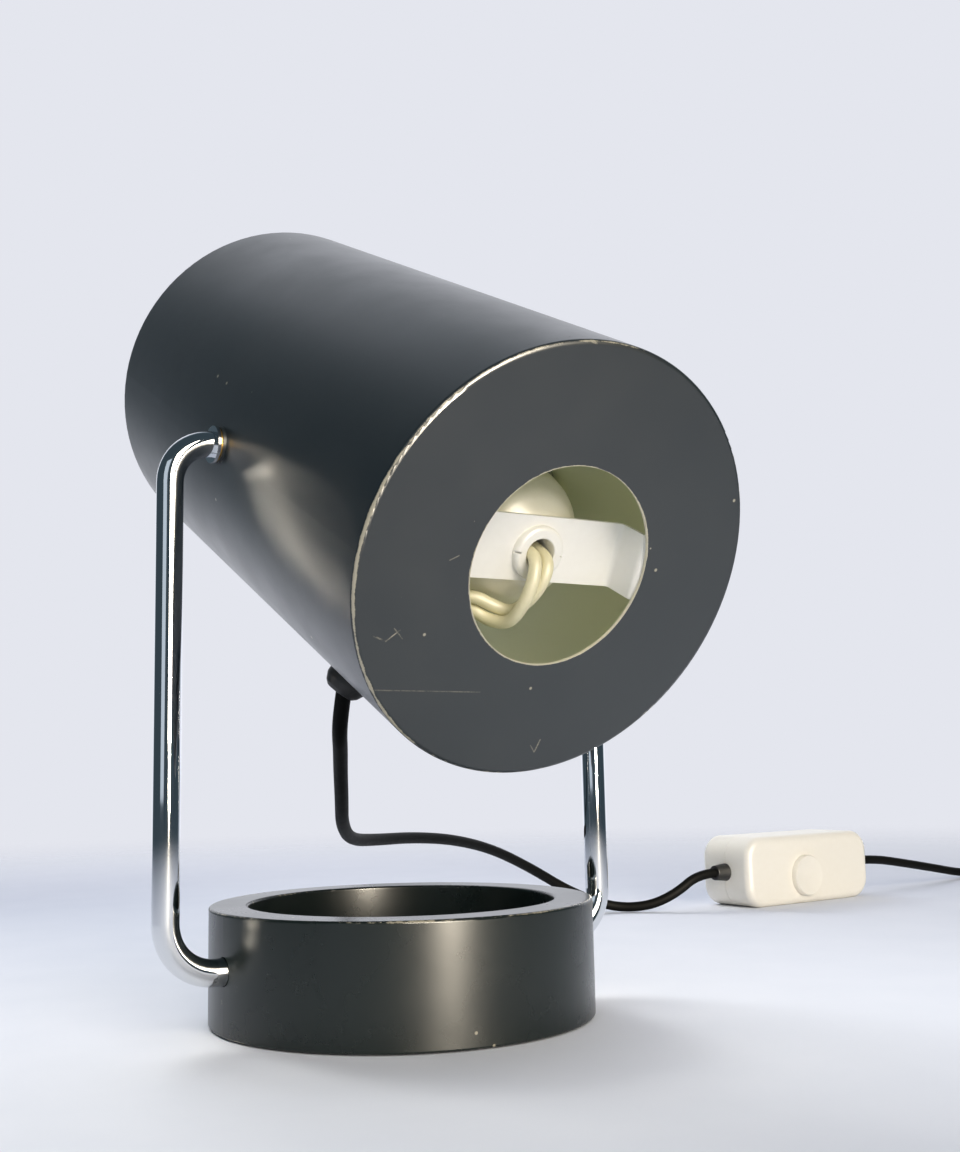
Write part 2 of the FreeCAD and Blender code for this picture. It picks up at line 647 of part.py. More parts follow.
half_plug = [(12, -5.5, 4.0), (24, -plug_width / 2 + 2, 6.0), (12 + plug_length, -plug_width / 2, 2.6)]
outline = half_plug + [(p[0], -p[1], p[2]) for p in reversed(half_plug)]
plug = plate(outline, plug_height).translated(V(0, 0, -plug_axis))
rims = [e for e in plug.Edges if abs(e.BoundBox.ZMax - e.BoundBox.ZMin) < 1e-6]
plug = plug.makeChamfer(1.4, rims)
relief = Part.makeCone(3.5, 4.8, 13, V(0, 0, 0), X_AXIS)
plug = plug.fuse(relief)
plug = plug.translated(plug_tail)
pin_root = 12 + plug_length
pins = []
pin_sleeves = []
for side in (1, -1):
    foot = plug_tail + V(pin_root - 6, side * 9.3, 0)
    pin = lathe([(0, 0), (1.4, 0), (1.4, 16), (2.0, 16), (2.0, 25, 0.9), (0, 25)])
    pins.append(placed(pin, foot, V(0, 1, 0), V(0, 0, 1), V(1, 0, 0)))
    guard = lathe([(1.42, 6), (1.9, 6), (1.9, 16), (1.42, 16)])
    pin_sleeves.append(placed(guard, foot, V(0, 1, 0), V(0, 0, 1), V(1, 0, 0)))
    plug = plug.cut(cylinder(1.42, foot, (1, 0, 0), 8))
save("plug_body", plug)
save("plug_pins", pins)
save("plug_pin_sleeves", pin_sleeves)
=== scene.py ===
import bpy
import math
from mathutils import Matrix, Vector


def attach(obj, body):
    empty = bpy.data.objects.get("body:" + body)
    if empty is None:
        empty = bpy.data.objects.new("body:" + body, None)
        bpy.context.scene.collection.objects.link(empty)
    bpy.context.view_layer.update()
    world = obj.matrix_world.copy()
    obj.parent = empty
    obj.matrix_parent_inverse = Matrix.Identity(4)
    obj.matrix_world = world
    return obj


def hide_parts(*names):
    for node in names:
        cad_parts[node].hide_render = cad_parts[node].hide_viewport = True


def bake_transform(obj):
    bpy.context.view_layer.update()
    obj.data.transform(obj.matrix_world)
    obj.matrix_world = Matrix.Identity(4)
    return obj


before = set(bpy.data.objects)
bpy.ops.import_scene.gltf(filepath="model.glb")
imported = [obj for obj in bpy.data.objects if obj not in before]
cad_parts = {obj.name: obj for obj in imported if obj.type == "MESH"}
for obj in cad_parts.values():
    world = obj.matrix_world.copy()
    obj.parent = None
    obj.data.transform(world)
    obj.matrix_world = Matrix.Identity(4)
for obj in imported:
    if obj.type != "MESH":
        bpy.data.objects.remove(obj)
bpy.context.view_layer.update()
scene = bpy.context.scene
print("frame loaded")


# Camera, as the photograph was taken: low behind the lamp, looking slightly up

camera = {
    "place": (0.21638, 0.38349, 0.07823),
    "yaw": 237.08,
    "pitch": 7.76,
    "roll": -1.19,
    "lens": 42.46,
    "sensor": 36,
    "nearClip": 0.01,
}


def aimCamera(c):
    yaw, pitch, roll = (math.radians(c[k]) for k in ("yaw", "pitch", "roll"))
    ahead = Vector((math.cos(yaw) * math.cos(pitch), math.sin(yaw) * math.cos(pitch), math.sin(pitch)))
    right = ahead.cross(Vector((0, 0, 1))).normalized()
    up = right.cross(ahead)
    turned = right * math.cos(roll) + up * math.sin(roll)
    top = up * math.cos(roll) - right * math.sin(roll)
    data = bpy.data.cameras.new("photoCamera")
    data.lens = c["lens"]
    data.sensor_width = c["sensor"]
    data.clip_start = c["nearClip"]
    eye = bpy.data.objects.new("photoCamera", data)
    scene.collection.objects.link(eye)
    eye.matrix_world = Matrix((
        (turned.x, top.x, -ahead.x, c["place"][0]),
        (turned.y, top.y, -ahead.y, c["place"][1]),
        (turned.z, top.z, -ahead.z, c["place"][2]),
        (0, 0, 0, 1)))
    scene.camera = eye


aimCamera(camera)
print("camera set")


# Small helpers for colours, nodes and picking

def linear(hexColour):
    values = [int(hexColour[i:i + 2], 16) / 255 for i in (1, 3, 5)]
    return [v / 12.92 if v <= 0.04045 else ((v + 0.055) / 1.055) ** 2.4 for v in values] + [1.0]


def addNode(tree, kind, inputs=None, **settings):
    # kind: the type without ShaderNode before it; inputs: socket name or number -> a value or another socket
    node = tree.nodes.new("ShaderNode" + kind)
    for key, value in settings.items():
        setattr(node, key, value)
    for key, value in (inputs or {}).items():
        if isinstance(value, bpy.types.NodeSocket):
            tree.links.new(value, node.inputs[key])
        else:
            node.inputs[key].default_value = value
    return node


def newMaterial(name):
    material = bpy.data.materials.new(name)
    material.use_nodes = True
    tree = material.node_tree
    return material, tree, tree.nodes["Principled BSDF"]


def deselectAll():
    if bpy.context.object and bpy.context.object.mode != "OBJECT":
        bpy.ops.object.mode_set(mode="OBJECT")
    bpy.ops.object.select_all(action="DESELECT")


def dress(piece, material):
    piece.data.materials.clear()
    piece.data.materials.append(material)


# The shade's own directions: across, over and along the beam, from the middle of its rear face

shadeFacts = {"tilt": 27, "pivotHeight": 0.1755, "pivotFromRear": 0.101}
shadeTilt = math.radians(shadeFacts["tilt"])
beam = Vector((0, -math.cos(shadeTilt), math.sin(shadeTilt)))
over = Vector((0, math.sin(shadeTilt), math.cos(shadeTilt)))
rearCentre = Vector((0, 0, shadeFacts["pivotHeight"])) - beam * shadeFacts["pivotFromRear"]


def shadePoint(x, y, depth):
    return rearCentre + Vector((x, 0, 0)) + over * y + beam * depth


# Cords: smooth curves led by the same points as the part's routes, in metres

cordFacts = {
    "diameter": 0.0048, "leadLength": 0.433, "tailLength": 1.418,
    # two places on the lead, behind the ring and by the grommet, that bound its stretch next to the shade
    "flexFrom": (-0.065, -0.118, 0.0472), "flexTo": (0.0290, 0.0170, 0.0990),
}

leadRoute = [
    (0.02924, 0.01850, 0.10167), (0.0286, 0.0146, 0.0935), (0.0260, 0.0085, 0.0876),
    (0.0208, -0.0012, 0.0832), (0.0125, -0.0175, 0.0760), (0.0030, -0.0355, 0.0665),
    (-0.0080, -0.0570, 0.0565), (-0.0240, -0.0810, 0.0498), (-0.0480, -0.1060, 0.0478),
    (-0.0800, -0.1310, 0.0465), (-0.1150, -0.1540, 0.0430), (-0.1490, -0.1740, 0.0360),
    (-0.1800, -0.1870, 0.0245), (-0.2050, -0.1900, 0.0115), (-0.2250, -0.1810, 0.0026),
    (-0.2390, -0.1685, 0.0029), (-0.2510, -0.1605, 0.0090), (-0.26403, -0.15795, 0.0180),
    (-0.27601, -0.15858, 0.0180)]

tailRoute = [
    (-0.38686, -0.16439, 0.0180), (-0.4040, -0.1653, 0.0180), (-0.4320, -0.1680, 0.0140),
    (-0.4680, -0.1740, 0.0085), (-0.5000, -0.1810, 0.0035), (-0.5210, -0.1840, 0.00242),
    (-0.5425, -0.1770, 0.00242)]

plugRoute = [
    (-0.5520, -0.1000, 0.0050), (-0.5480, -0.0830, 0.00242), (-0.5390, -0.0670, 0.00242),
    (-0.5230, -0.0570, 0.0032), (-0.5040, -0.0540, 0.0069), (-0.4880, -0.0540, 0.0069)]

coil = {
    "centre": (-0.519, -0.133), "radius": 0.034, "pitch": 0.00525, "turns": 3.25, "floor": 0.00242,
    "reverse": 0.5, "perTurn": 16,  # the share of a turn that climbs, and points in a turn
    "inward": (0.0246, 0.9997, 0), "before": (0.0228, 0.0048),  # heading and steps into the turns
    "outward": (-0.0246, 0.9997, 0), "after": (0.0048, 0.0168),  # heading and steps out of them
}


def coilPoints(c):
    # in along the floor, up in the half turn where it reverses, out on top
    points = []
    middle = c["turns"] + c["reverse"] / 2
    steps = int(round(2 * middle * c["perTurn"]))
    for k in range(steps + 1):
        turn = k / c["perTurn"]
        radius = c["radius"] - c["pitch"] * min(turn, 2 * middle - turn)
        share = min(max((turn - c["turns"]) / c["reverse"], 0), 1)
        height = c["floor"] + c["pitch"] * share * share * (3 - 2 * share)
        angle = math.pi - 2 * math.pi * turn
        points.append((c["centre"][0] + radius * math.cos(angle),
                       c["centre"][1] + radius * math.sin(angle), height))
    return points


def layCord(name, route, diameter):
    data = bpy.data.curves.new(name, "CURVE")
    data.dimensions = "3D"
    data.resolution_u = 8
    data.bevel_depth = diameter / 2
    data.bevel_resolution = 6
    data.use_fill_caps = True
    spline = data.splines.new("NURBS")
    spline.points.add(len(route) - 1)
    for spot, place in zip(spline.points, route):
        spot.co = (*place, 1)
    spline.order_u = 3
    spline.use_endpoint_u = True
    spline.use_smooth = True
    piece = bpy.data.objects.new(name, data)
    scene.collection.objects.link(piece)
    return piece


def linePoints(piece):
    # the smooth line itself, read from the curve without its thickness
    thick = piece.data.bevel_depth
    piece.data.bevel_depth = 0
    bpy.context.view_layer.update()
    line = bpy.data.meshes.new_from_object(piece.evaluated_get(bpy.context.evaluated_depsgraph_get()))
    piece.data.bevel_depth = thick
    bpy.context.view_layer.update()
    return [tuple(v.co) for v in line.vertices]


def curveToMesh(piece):
    deselectAll()
    piece.select_set(True)
    bpy.context.view_layer.objects.active = piece
    bpy.ops.object.convert(target="MESH")
    bpy.ops.object.shade_smooth()
    return piece


leadCord = layCord("leadCord", leadRoute, cordFacts["diameter"])
leadLine = linePoints(leadCord)
curveToMesh(leadCord)
coilRoute = coilPoints(coil)
coilStart, coilEnd = Vector(coilRoute[0]), Vector(coilRoute[-1])
wholeTail = tailRoute + [tuple(coilStart - Vector(coil["inward"]) * step) for step in coil["before"]]
wholeTail += coilRoute
wholeTail += [tuple(coilEnd + Vector(coil["outward"]) * step) for step in coil["after"]]
wholeTail += plugRoute
tailCord = layCord("tailCord", wholeTail, cordFacts["diameter"])

# Two sleeved lead wires: out of the bush, round each other, down and away to the cord's inner end.
# middle: across, over and along the beam in mm; twist: degrees at each point; the rest in metres
leadWires = {
    "diameter": 0.0037, "spread": 0.00215,
    "middle": [(0, 0, 24), (0, 0, 12.5), (1.2, -1.6, 7.3), (2.4, -6.8, 5.6), (3.9, -13.2, 6.6),
               (5.2, -19.0, 10.4), (8.8, -19.4, 15.2), (13.8, -17.2, 18.0), (19.0, -20.0, 24.0),
               (22.0, -26.5, 32.5), (22.0, -34.0, 41.5), (20.9, -39.6, 48.4), (22.3, -43.9, 51.0)],
    "twist": [0, 0, -10, -30, -55, -80, -110, -140, -165, -190, -210, -230, -245],
}


def wirePoints(wires, sign):
    middle = [Vector(p) / 1000 for p in wires["middle"]]
    points = []
    side = Vector((1, 0, 0))
    for i, point in enumerate(middle):
        ahead = (middle[min(i + 1, len(middle) - 1)] - middle[max(i - 1, 0)]).normalized()
        side = (side - ahead * side.dot(ahead)).normalized()
        twist = math.radians(wires["twist"][i])
        offset = (side * math.cos(twist) + ahead.cross(side) * math.sin(twist)) * (wires["spread"] * sign)
        points.append(tuple(shadePoint(*(point + offset))))
    return points


wireA = curveToMesh(layCord("leadWireA", wirePoints(leadWires, 1), leadWires["diameter"]))
wireB = curveToMesh(layCord("leadWireB", wirePoints(leadWires, -1), leadWires["diameter"]))
print("cords laid")


# Materials

# noise scales of the black paint, each 1 over the size of a blotch in metres
paintGrain = {
    "edgeBreakup": 240,  # 4 mm spots that break up the lost paint at the corners and its painted highlight
    "handling": 28,  # 36 mm patches that are touched more
    "drift": 9,  # 11 cm drifts of colour
    "cloud": 35,  # 3 cm clouds of gloss
    "peel": 900,  # 1.1 mm orange peel
}
metalAndHighlightFrom, metalAndHighlightFull = 1.50, 1.62  # the summed chance at which the pale marks start and are whole: metal showing where paint is gone, and the painted highlight on the shade's rear corner


def satinBlackPaint(name, finish):
    # stoved satin paint on steel: fine orange peel, soft broad gloss, paint gone at the corners, dust and
    # nicks; on the shade's rear corner the pale line is partly a painted highlight, stronger on the lit +X
    # side
    material, tree, paint = newMaterial(name)
    coords = addNode(tree, "TexCoord").outputs["Object"]
    local = addNode(tree, "Mapping", {"Vector": coords, "Location": finish["origin"],
                                      "Rotation": finish["turn"]}, vector_type="TEXTURE").outputs["Vector"]
    split = addNode(tree, "SeparateXYZ", {0: local})
    flat = addNode(tree, "CombineXYZ", {"X": split.outputs["X"], "Y": split.outputs["Y"]})
    reach = addNode(tree, "VectorMath", {0: flat.outputs[0]}, operation="LENGTH").outputs["Value"]
    patchy = addNode(tree, "TexNoise", {"Vector": local, "Scale": paintGrain["edgeBreakup"], "Detail": 6,
                                        "Roughness": 0.75})
    slow = addNode(tree, "TexNoise", {"Vector": local, "Scale": paintGrain["handling"], "Detail": 2})
    # pale marks are likelier towards +X: some real abrasion, and a painted highlight on the side where the
    # rear corner catches the light
    sideWearAndHighlight = addNode(tree, "MapRange", {"Value": split.outputs["X"], "From Min": -0.02, "From Max": 0.04,
                                        "To Min": -0.06, "To Max": 0.10})
    chance = addNode(tree, "Math", {0: patchy.outputs["Fac"], 1: slow.outputs["Fac"]}, operation="ADD")
    chance = addNode(tree, "Math", {0: chance.outputs[0], 1: sideWearAndHighlight.outputs[0]}, operation="ADD")
    edgeWearAndHighlight = None
    for ringRadius, ringDepth, width, lift in finish["edges"]:
        # a pale line, strongest on the corner itself, none a width away from it; on the shade's rear corner
        # it is partly a painted highlight
        offR = addNode(tree, "Math", {0: reach, 1: ringRadius}, operation="SUBTRACT")
        offZ = addNode(tree, "Math", {0: split.outputs["Z"], 1: ringDepth}, operation="SUBTRACT")
        far = addNode(tree, "CombineXYZ", {"X": offR.outputs[0], "Y": offZ.outputs[0]})
        gap = addNode(tree, "VectorMath", {0: far.outputs[0]}, operation="LENGTH")
        near = addNode(tree, "MapRange", {"Value": gap.outputs["Value"], "From Min": width,
                                          "From Max": 0, "To Min": 0, "To Max": lift})
        if edgeWearAndHighlight is None:
            edgeWearAndHighlight = near.outputs[0]
        else:
            edgeWearAndHighlight = addNode(tree, "Math", {0: edgeWearAndHighlight, 1: near.outputs[0]}, operation="MAXIMUM").outputs[0]
    summedWearAndHighlight = addNode(tree, "Math", {0: chance.outputs[0], 1: edgeWearAndHighlight}, operation="ADD")
    wornAndLit = addNode(tree, "MapRange", {"Value": summedWearAndHighlight.outputs[0], "From Min": metalAndHighlightFrom,
                                      "From Max": metalAndHighlightFull})
    marks = wornAndLit.outputs[0]
    for size, rarity, rimRadius, rimReach in finish["specks"]:
        # dust and chips: one small dot in a few of the cells, all over or only near a rim
        cells = addNode(tree, "TexVoronoi", {"Vector": local, "Scale": 1 / (size * 9)})
        dot = addNode(tree, "MapRange", {"Value": cells.outputs["Distance"], "From Min": 0.11,
                                         "From Max": 0.06})
        few = addNode(tree, "SeparateColor", {0: cells.outputs["Color"]})
        chosen = addNode(tree, "Math", {0: few.outputs[0], 1: rarity}, operation="GREATER_THAN")
        speck = addNode(tree, "Math", {0: dot.outputs[0], 1: chosen.outputs[0]}, operation="MULTIPLY")
        if rimReach:
            rimOff = addNode(tree, "Math", {0: reach, 1: rimRadius}, operation="SUBTRACT")
            rimNear = addNode(tree, "Math", {0: rimOff.outputs[0], 1: rimReach}, operation="LESS_THAN")
            speck = addNode(tree, "Math", {0: speck.outputs[0], 1: rimNear.outputs[0]}, operation="MULTIPLY")
        marks = addNode(tree, "Math", {0: marks, 1: speck.outputs[0]}, operation="MAXIMUM").outputs[0]
    for start, end, width, strength in finish["scratches"]:
        # a scratch is a thin broken line between two places on the rear face
        run = Vector((*end, 0)) - Vector((*start, 0))
        away = addNode(tree, "VectorMath", {0: local, 1: (*start, 0)}, operation="SUBTRACT")
        along = addNode(tree, "VectorMath", {0: away.outputs[0], 1: tuple(run / run.length_squared)},
                        operation="DOT_PRODUCT")
        held = addNode(tree, "Math", {0: along.outputs["Value"], 1: 1}, operation="MULTIPLY", use_clamp=True)
        reached = addNode(tree, "VectorMath", {0: tuple(run), "Scale": held.outputs[0]}, operation="SCALE")
        rest = addNode(tree, "VectorMath", {0: away.outputs[0], 1: reached.outputs[0]}, operation="SUBTRACT")
        gap = addNode(tree, "VectorMath", {0: rest.outputs[0]}, operation="LENGTH")
        line = addNode(tree, "MapRange", {"Value": gap.outputs["Value"], "From Min": width,
                                          "From Max": width * 0.3})
        broken = addNode(tree, "MapRange", {"Value": patchy.outputs["Fac"], "From Min": 0.40,
                                            "From Max": 0.56, "To Max": strength})
        scratch = addNode(tree, "Math", {0: line.outputs[0], 1: broken.outputs[0]}, operation="MULTIPLY")
        marks = addNode(tree, "Math", {0: marks, 1: scratch.outputs[0]}, operation="MAXIMUM").outputs[0]
    # the colour drifts a little, as old paint does
    drift = addNode(tree, "TexNoise", {"Vector": local, "Scale": paintGrain["drift"], "Detail": 5,
                                       "Roughness": 0.65})
    body = addNode(tree, "Mix", {"Factor": drift.outputs["Fac"], "A": linear(finish["dark"]),
                                 "B": linear(finish["light"])}, data_type="RGBA")
    # the metal colour goes where paint is gone, chipped or scratched, and along the painted corner highlight
    colour = addNode(tree, "Mix", {"Factor": marks, "A": body.outputs["Result"],
                                   "B": linear(finish["bareAndHighlight"])}, data_type="RGBA").outputs["Result"]
    cloud = addNode(tree, "TexNoise", {"Vector": local, "Scale": paintGrain["cloud"], "Detail": 8,
                                       "Roughness": 0.6})
    gloss = addNode(tree, "MapRange", {"Value": cloud.outputs["Fac"], "From Min": 0.3, "From Max": 0.7,
                                       "To Min": finish["gloss"][0], "To Max": finish["gloss"][1]})
    if finish["inside"]:
        # the inner wall is sprayed a pale olive grey, and the cut rim of the vent shows its primer
        within = addNode(tree, "Math", {0: reach, 1: finish["inside"]["radius"]}, operation="LESS_THAN")
        deep = addNode(tree, "Math", {0: split.outputs["Z"], 1: finish["inside"]["depth"]},
                       operation="GREATER_THAN")
        inner = addNode(tree, "Math", {0: within.outputs[0], 1: deep.outputs[0]}, operation="MULTIPLY")
        spray = addNode(tree, "Mix", {"Factor": drift.outputs["Fac"], "A": linear(finish["inside"]["dark"]),
                                      "B": linear(finish["inside"]["light"])}, data_type="RGBA")
        colour = addNode(tree, "Mix", {"Factor": inner.outputs[0], "A": colour, "B": spray.outputs["Result"]},
                         data_type="RGBA").outputs["Result"]
        cutRim = addNode(tree, "Math", {0: reach, 1: finish["inside"]["rim"]}, operation="LESS_THAN")
        colour = addNode(tree, "Mix", {"Factor": cutRim.outputs[0], "A": colour,
                                       "B": linear(finish["inside"]["primer"])},
                         data_type="RGBA").outputs["Result"]
    tree.links.new(colour, paint.inputs["Base Color"])
    tree.links.new(gloss.outputs[0], paint.inputs["Roughness"])
    # orange peel about 1 mm across, drawn a few hundredths of a mm deep so that it shows
    peel = addNode(tree, "TexNoise", {"Vector": local, "Scale": paintGrain["peel"], "Detail": 3})
    height = addNode(tree, "Math", {0: marks, 1: -1.5, 2: peel.outputs["Fac"]}, operation="MULTIPLY_ADD")
    bump = addNode(tree, "Bump", {"Height": height.outputs[0], "Strength": 0.16, "Distance": 0.00003})
    tree.links.new(bump.outputs[0], paint.inputs["Normal"])
    paint.inputs["Specular IOR Level"].default_value = finish["specular"]
    return material


# edge lines: radius, depth, width and lift of a pale line where paint is lost, partly a painted highlight on
# the shade's rear corner; specks: size, rarity, rim radius and reach;
# scratches: start, end, half width and strength, on the shade's rear face
shadeFinish = {
    "origin": rearCentre, "turn": (math.radians(90 - shadeFacts["tilt"]), 0, 0),
    # the pale metal colour stands for paint gone from the metal and, on the rear corner, for a painted
    # highlight
    "dark": "#141d22", "light": "#1c262b", "bareAndHighlight": "#a8a28f", "gloss": (0.31, 0.38), "specular": 0.75,
    # the first edge line, on the rear corner, is partly a painted highlight where the corner catches the
    # light
    "edges": [(0.0615, 0.0005, 0.0009, 0.69), (0.0286, 0.0, 0.0007, 0.62), (0.0619, 0.2017, 0.0010, 0.45)],
    "specks": [(0.0006, 0.962, 0, 0), (0.00035, 0.80, 0.0285, 0.0042)],
    "scratches": [((0.0492, -0.0367), (0.0163, -0.0369), 0.00022, 0.35),
                  ((0.0524, -0.0218), (0.0487, -0.0231), 0.00030, 0.8),
                  ((0.0487, -0.0231), (0.0453, -0.0199), 0.00025, 0.8),
                  ((0.0470, -0.0195), (0.0440, -0.0222), 0.00022, 0.6),
                  ((-0.0069, -0.0552), (-0.0079, -0.0514), 0.00030, 0.7),
                  ((-0.0050, -0.0530), (-0.0069, -0.0552), 0.00022, 0.6),
                  ((0.0087, 0.0610), (0.0070, 0.0607), 0.00045, 1.0),
                  ((0.0354, -0.0002), (0.0330, 0.0012), 0.00022, 0.6)],
    "inside": {"radius": 0.06145, "depth": 0.0005, "rim": 0.02858, "dark": "#c3c5a4", "light": "#cfd1b4",
               "primer": "#d6d0bb"},
}
ringFinish = {
    "origin": (0, 0, 0), "turn": (0, 0, 0),
    "dark": "#111918", "light": "#172120", "bareAndHighlight": "#9c9685", "gloss": (0.25, 0.31), "specular": 0.4,
    "edges": [(0.0598, 0.0353, 0.0009, 0.43), (0.0482, 0.0353, 0.0007, 0.40), (0.0599, 0.0006, 0.0008, 0.40)],
    "specks": [(0.0006, 0.955, 0, 0)],
    "scratches": [], "inside": None,
}
shadePaint = satinBlackPaint("satinBlackStovedPaint", shadeFinish)
ringPaint = satinBlackPaint("satinBlackPaintOnIron", ringFinish)
for node in ("shade_tube", "shade_rear_cap", "pivot_bushes"):
    dress(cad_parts[node], shadePaint)
dress(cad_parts["base_ring"], ringPaint)
print("paint ready")


def simpleMaterial(name, base, second, roughness, metallic=0.0, scale=400, bumpDepth=0.00002, specular=0.5):
    # a moulded or plated surface: two close tones on a fine noise, and a bump of the same size
    material, tree, surface = newMaterial(name)
    coords = addNode(tree, "TexCoord").outputs["Object"]
    grain = addNode(tree, "TexNoise", {"Vector": coords, "Scale": scale, "Detail": 5, "Roughness": 0.6})
    tone = addNode(tree, "Mix", {"Factor": grain.outputs["Fac"], "A": linear(base), "B": linear(second)},
                   data_type="RGBA")
    tree.links.new(tone.outputs["Result"], surface.inputs["Base Color"])
    rough = addNode(tree, "MapRange", {"Value": grain.outputs["Fac"], "To Min": roughness * 0.85,
                                       "To Max": roughness * 1.15})
    tree.links.new(rough.outputs[0], surface.inputs["Roughness"])
    bump = addNode(tree, "Bump", {"Height": grain.outputs["Fac"], "Strength": 0.3, "Distance": bumpDepth})
    tree.links.new(bump.outputs[0], surface.inputs["Normal"])
    surface.inputs["Metallic"].default_value = metallic
    surface.inputs["Specular IOR Level"].default_value = specular
    return material


# nickel and chrome plate on drawn rod, buffed: a mirror with next to no grain
chromePlate = simpleMaterial("polishedChromePlate", "#d3d6da", "#dddfe2", 0.05, 1.0, 60, 0.000002)
# enamel baked on bent steel strip: clean white, a soft sheen
whiteEnamel = simpleMaterial("whiteBakedEnamel", "#f0efeb", "#f6f5f2", 0.35)
# moulded nylon bush: white, a little duller than the enamel
whiteNylon = simpleMaterial("whiteMouldedNylon", "#ecebe6", "#f3f2ee", 0.4)
# compression moulded holder: warm cream, almost glossy
creamHolder = simpleMaterial("creamMouldedThermoset", "#e4dfcb", "#ece8d8", 0.32)
# extruded sleeving gone yellow with heat
wireSleeve = simpleMaterial("creamSiliconeSleeving", "#d9d2ac", "#e3ddbd", 0.5)
# injection moulded switch: pale cream with a fine satin grain
switchCream = simpleMaterial("creamMouldedSwitchPlastic", "#f3eee2", "#f8f4ea", 0.42)
# moulded rubber: near black, soft highlights
blackRubber = simpleMaterial("blackMouldedRubber", "#0b0c0e", "#131517", 0.5)
# extruded rubber sheath: the deepest black of the lamp, hardly any shine
blackSheath = simpleMaterial("blackRubberSheath", "#040504", "#080908", 0.6, specular=0.08)
# zinc plated small steel: grey, half bright
zincSteel = simpleMaterial("zincPlatedSteel", "#9a9c9e", "#aeb0b2", 0.32, 1.0)
# pressed brass sheet: yellow, half bright
brassSheet = simpleMaterial("pressedBrass", "#b08d4c", "#c29f5e", 0.3, 1.0)
# glazed porcelain: off white with a wet gloss
porcelain = simpleMaterial("glazedPorcelain", "#e8e6de", "#f0eee8", 0.2)
# blown opal glass: white, very smooth
opalGlass = simpleMaterial("opalBulbGlass", "#efeee9", "#f5f4f0", 0.12)
# pressed aluminium cap: pale grey metal
capAluminium = simpleMaterial("pressedAluminiumCap", "#b9bbbd", "#c8cacc", 0.3, 1.0)
# moulded block inside the switch: dull warm grey
blockPlastic = simpleMaterial("greyMouldedBlock", "#b5b2a6", "#c2bfb3", 0.5)
# nickel plated turned pins: warm bright metal
nickelPins = simpleMaterial("nickelPlatedPins", "#b6b2a8", "#c4c0b6", 0.2, 1.0)
# pressed felt: matt black, fibres drawn as a 0.7 mm grain so that they show
feltCloth = simpleMaterial("blackPressedFelt", "#0f1011", "#1c1d1f", 0.95, 0, 1500, 0.0004)

finishes = {
    "left_arm": chromePlate, "right_arm": chromePlate, "pivot_collars": chromePlate,
    "lampholder_strap": whiteEnamel, "strap_bush": whiteNylon, "holder_cap": creamHolder,
    "holder_body": creamHolder, "holder_insert": porcelain, "holder_thread_shell": brassSheet,
    "centre_contact": brassSheet, "terminal_screws": brassSheet, "friction_washers": brassSheet,
    "switch_terminals": brassSheet, "bulb_contact": brassSheet, "spring_washers": zincSteel,
    "pivot_nuts": zincSteel, "arm_grub_screws": zincSteel, "switch_screws": zincSteel,
    "bulb_glass": opalGlass, "bulb_screw_cap": capAluminium, "cord_grommet": blackRubber,
    "cord_grip": blackRubber, "cord_inner_end": blackSheath, "switch_cord_ends": blackSheath,
    "switch_front_shell": switchCream, "switch_rear_shell": switchCream, "switch_button": switchCream,
    "switch_sleeves": blackRubber, "switch_contact_block": blockPlastic, "plug_body": blackRubber,
    "plug_pins": nickelPins, "plug_pin_sleeves": blackRubber,
}
for node, material in finishes.items():
    dress(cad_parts[node], material)
for cord in (leadCord, tailCord):
    dress(cord, blackSheath)
for wire, node in ((wireA, "lead_wire_a"), (wireB, "lead_wire_b")):
    dress(wire, wireSleeve)
    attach(wire, "shade")
    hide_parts(node)
print("materials ready")

feltRing = {
    "inner": 0.0501, "outer": 0.0579, "thick": 0.00135, "rounding": 0.0003,
    "around": 160, "across": 4, "smoothBelow": 40,
}


def makeFelt(f):
    # a die-cut ring of pressed felt with soft edges
    deselectAll()
    bpy.ops.mesh.primitive_circle_add(vertices=f["around"], radius=f["outer"], fill_type="NOTHING",
                                      location=(0, 0, 0))
    piece = bpy.context.object
    piece.name = "feltRing"
    bpy.ops.object.mode_set(mode="EDIT")
    bpy.ops.mesh.select_all(action="SELECT")
    radii = [f["outer"] + (f["inner"] - f["outer"]) * k / f["across"] for k in range(f["across"] + 1)]
    for before, radius in zip(radii, radii[1:]):
        bpy.ops.mesh.extrude_edges_move()
        bpy.ops.transform.resize(value=(radius / before, radius / before, 1))
    bpy.ops.mesh.select_all(action="SELECT")
    bpy.ops.mesh.normals_make_consistent(inside=False)
    bpy.ops.object.mode_set(mode="OBJECT")
    up = piece.data.polygons[0].normal.z > 0
    thick = piece.modifiers.new("thick", "SOLIDIFY")
    thick.thickness = f["thick"]
    thick.offset = -1 if not up else 1
    bpy.ops.object.modifier_apply(modifier="thick")
    soft = piece.modifiers.new("soft", "BEVEL")
    soft.width = f["rounding"]
    soft.segments = 3
    bpy.ops.object.modifier_apply(modifier="soft")
    bpy.ops.object.shade_smooth_by_angle(angle=math.radians(f["smoothBelow"]))
    return piece


felt = makeFelt(feltRing)
dress(felt, feltCloth)
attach(felt, "base")
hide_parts("base_felt")
print("felt made")

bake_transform(leadCord)
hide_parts("cord_lead")
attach(tailCord, "base")
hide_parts("cord_tail", "cord_coil", "cord_end")


# Floor, air and light: a pale paper floor that melts into a pale room, bright behind the lamp

studio = {
    "paper": "#dfe3ed", "paperLight": "#e6e9f2", "fadeFrom": 0.35, "fadeTo": 1.2,
    "seen": "#e4e6ee", "seenStrength": 1.0, "dim": "#7d95a3", "dimStrength": 0.23, "brightStrength": 1.55,
    "toward": (-0.545, -0.839, 0.0),
    # where the bright side of the room starts and is full, by heading and by height
    "sideFrom": 0.52, "sideFull": 0.90, "topFrom": 0.98, "topFull": 0.70,
    "floorSize": 6,
}


